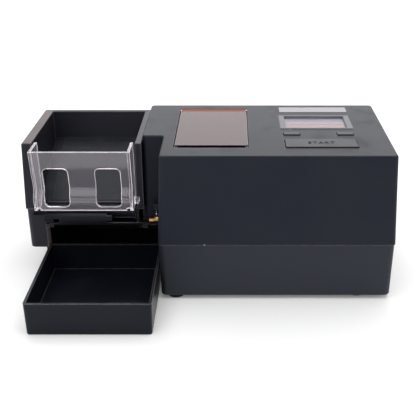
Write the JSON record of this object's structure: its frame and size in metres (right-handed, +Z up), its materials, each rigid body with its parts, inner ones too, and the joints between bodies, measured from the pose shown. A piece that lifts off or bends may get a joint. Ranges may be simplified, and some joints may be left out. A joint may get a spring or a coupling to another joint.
{
  "type": "tube filling machine",
  "caption": "Table-top electric machine that feeds paper tubes from a hopper, presses loose filler into them through a nozzle and drops them into a pull-out tray.",
  "frame": {"origin": "centre of the bounding box, on the table under the feet, with the tray pulled out", "axes": "+X to the right along the machine, +Y to its back, +Z up"},
  "size_m": [0.3628, 0.2348, 0.149],
  "materials": {
    "casing": "fine-textured charcoal moulding",
    "base_casing": "fine-textured charcoal moulding, a shade lighter",
    "hopper_casing": "fine-textured charcoal moulding",
    "hopper_inner": "smooth dark grey moulding",
    "tray_plastic": "satin near-black moulding",
    "dark_plastic": "satin black moulding",
    "drum_plastic": "satin black moulding",
    "key_plastic": "satin black keys",
    "bezel_plastic": "dark grey satin frame",
    "name_plate": "blank pale strip",
    "clear_plastic": "clear moulded sheet, polished edges",
    "smoked_plastic": "smoked brown sheet, polished",
    "display_glass": "grey display window",
    "chamber_plastic": "smooth dark chamber",
    "gear_plastic": "natural white acetal",
    "brass": "turned brass",
    "chrome": "ground and plated",
    "steel": "zinc-plated sheet and fasteners",
    "motor_steel": "plated motor can",
    "board": "circuit board and parts",
    "rubber": "black rubber foot",
    "silicone": "moulded silicone dome"
  },
  "bodies": {
    "root": {"top_cover": "casing", "base_tub": "base_casing", "hopper_shell": "hopper_casing", "left_base": "hopper_casing", "hopper_ramp": "hopper_inner", "ramp_strip": "hopper_inner", "tube_guard": "dark_plastic", "tube_sensor": "dark_plastic", "nozzle": "brass", "nozzle_collar": "dark_plastic", "clamp_arm": "dark_plastic", "feed_motor": "motor_steel", "chamber_lid_pins": "steel", "display_bezel": "bezel_plastic", "display_glass": "display_glass", "display_module": "board", "name_strip": "name_plate", "filler_chamber": "chamber_plastic", "packer_bracket": "steel", "packer_motor": "motor_steel", "chassis_plate": "steel", "guide_rails": "chrome", "rail_brackets": "steel", "drive_bracket": "steel", "drive_motor": "motor_steel", "control_board": "board", "power_supply": "board", "power_inlet": "dark_plastic", "switch_frame": "dark_plastic", "feet": "rubber", "case_screws": "steel", "start_dome": "silicone", "left_dome": "silicone", "right_dome": "silicone"},
    "tray": {"catch_tray": "tray_plastic"},
    "hopper_lid": {"hopper_lid": "clear_plastic"},
    "chamber_lid": {"chamber_lid": "smoked_plastic"},
    "start_key": {"start_key": "key_plastic"},
    "left_key": {"left_key": "key_plastic"},
    "right_key": {"right_key": "key_plastic"},
    "rocker": {"power_rocker": "key_plastic"},
    "injector": {"injector_rod": "brass", "carriage": "gear_plastic", "carriage_rack": "gear_plastic"},
    "drive_pinion": {"drive_pinion": "gear_plastic"},
    "packer": {"packing_plate": "gear_plastic"},
    "packer_pinion": {"packer_pinion": "gear_plastic"},
    "drum": {"feed_drum": "drum_plastic", "drum_gear": "gear_plastic"},
    "feed_pinion": {"feed_pinion": "gear_plastic"},
    "flap": {"drop_flap": "dark_plastic"},
    "clamp": {"clamp_pin": "chrome"}
  },
  "joints": [
    {"name": "tray_slide", "type": "slide", "parent": "root", "child": "tray", "axis": [0, 1, 0], "range_m": [0, 0.095]},
    {"name": "hopper_lid_hinge", "type": "hinge", "parent": "root", "child": "hopper_lid", "pos_m": [-0.16818, 0.00232, 0.0826], "axis": [-1, 0, 0], "range_deg": [0, 20]},
    {"name": "chamber_lid_hinge", "type": "hinge", "parent": "root", "child": "chamber_lid", "pos_m": [-0.02868, 0.09582, 0.1468], "axis": [-1, 0, 0], "range_deg": [0, 100]},
    {"name": "start_key_press", "type": "slide", "parent": "root", "child": "start_key", "axis": [0, 0, -1], "range_m": [0, 0.001], "stiffness_N_per_m": 600, "springref_m": -0.0015, "deforming": ["start_dome"]},
    {"name": "left_key_press", "type": "slide", "parent": "root", "child": "left_key", "axis": [0, 0, -1], "range_m": [0, 0.001], "stiffness_N_per_m": 600, "springref_m": -0.0015, "deforming": ["left_dome"]},
    {"name": "right_key_press", "type": "slide", "parent": "root", "child": "right_key", "axis": [0, 0, -1], "range_m": [0, 0.001], "stiffness_N_per_m": 600, "springref_m": -0.0015, "deforming": ["right_dome"]},
    {"name": "rocker_tip", "type": "hinge", "parent": "root", "child": "rocker", "pos_m": [0.08632, 0.11376, 0.032], "axis": [0, 0, 1], "range_deg": [0, 16]},
    {"name": "injector_slide", "type": "slide", "parent": "root", "child": "injector", "axis": [-1, 0, 0], "range_m": [0, 0.09]},
    {"name": "drive_pinion_spin", "type": "hinge", "parent": "root", "child": "drive_pinion", "pos_m": [0.07032, -0.00168, 0.02565], "axis": [0, -1, 0], "range_deg": [0, 470]},
    {"name": "packer_slide", "type": "slide", "parent": "root", "child": "packer", "axis": [0, -1, 0], "range_m": [0, 0.022]},
    {"name": "packer_pinion_spin", "type": "hinge", "parent": "root", "child": "packer_pinion", "pos_m": [0.00582, 0.06632, 0.07335], "axis": [-1, 0, 0], "range_deg": [0, 160]},
    {"name": "drum_spin", "type": "hinge", "parent": "root", "child": "drum", "pos_m": [-0.16118, 0.01032, 0.069], "axis": [1, 0, 0], "continuous": true},
    {"name": "feed_pinion_spin", "type": "hinge", "parent": "root", "child": "feed_pinion", "pos_m": [-0.07468, 0.02436, 0.06416], "axis": [1, 0, 0], "continuous": true},
    {"name": "flap_swing", "type": "hinge", "parent": "root", "child": "flap", "pos_m": [-0.15718, -0.00128, 0.0563], "axis": [1, 0, 0], "range_deg": [0, 75], "stiffness_Nm_per_rad": 0.002, "springref_deg": -28.65},
    {"name": "clamp_press", "type": "slide", "parent": "root", "child": "clamp", "axis": [0, 0, -1], "range_m": [0, 0.0008], "stiffness_N_per_m": 300, "springref_m": -0.001}
  ],
  "couplings": [
    {"joint": "drive_pinion_spin", "follows": "injector_slide", "rad_per_m": 90.909},
    {"joint": "packer_pinion_spin", "follows": "packer_slide", "rad_per_m": 125},
    {"joint": "feed_pinion_spin", "follows": "drum_spin", "ratio": -1.6364}
  ]
}
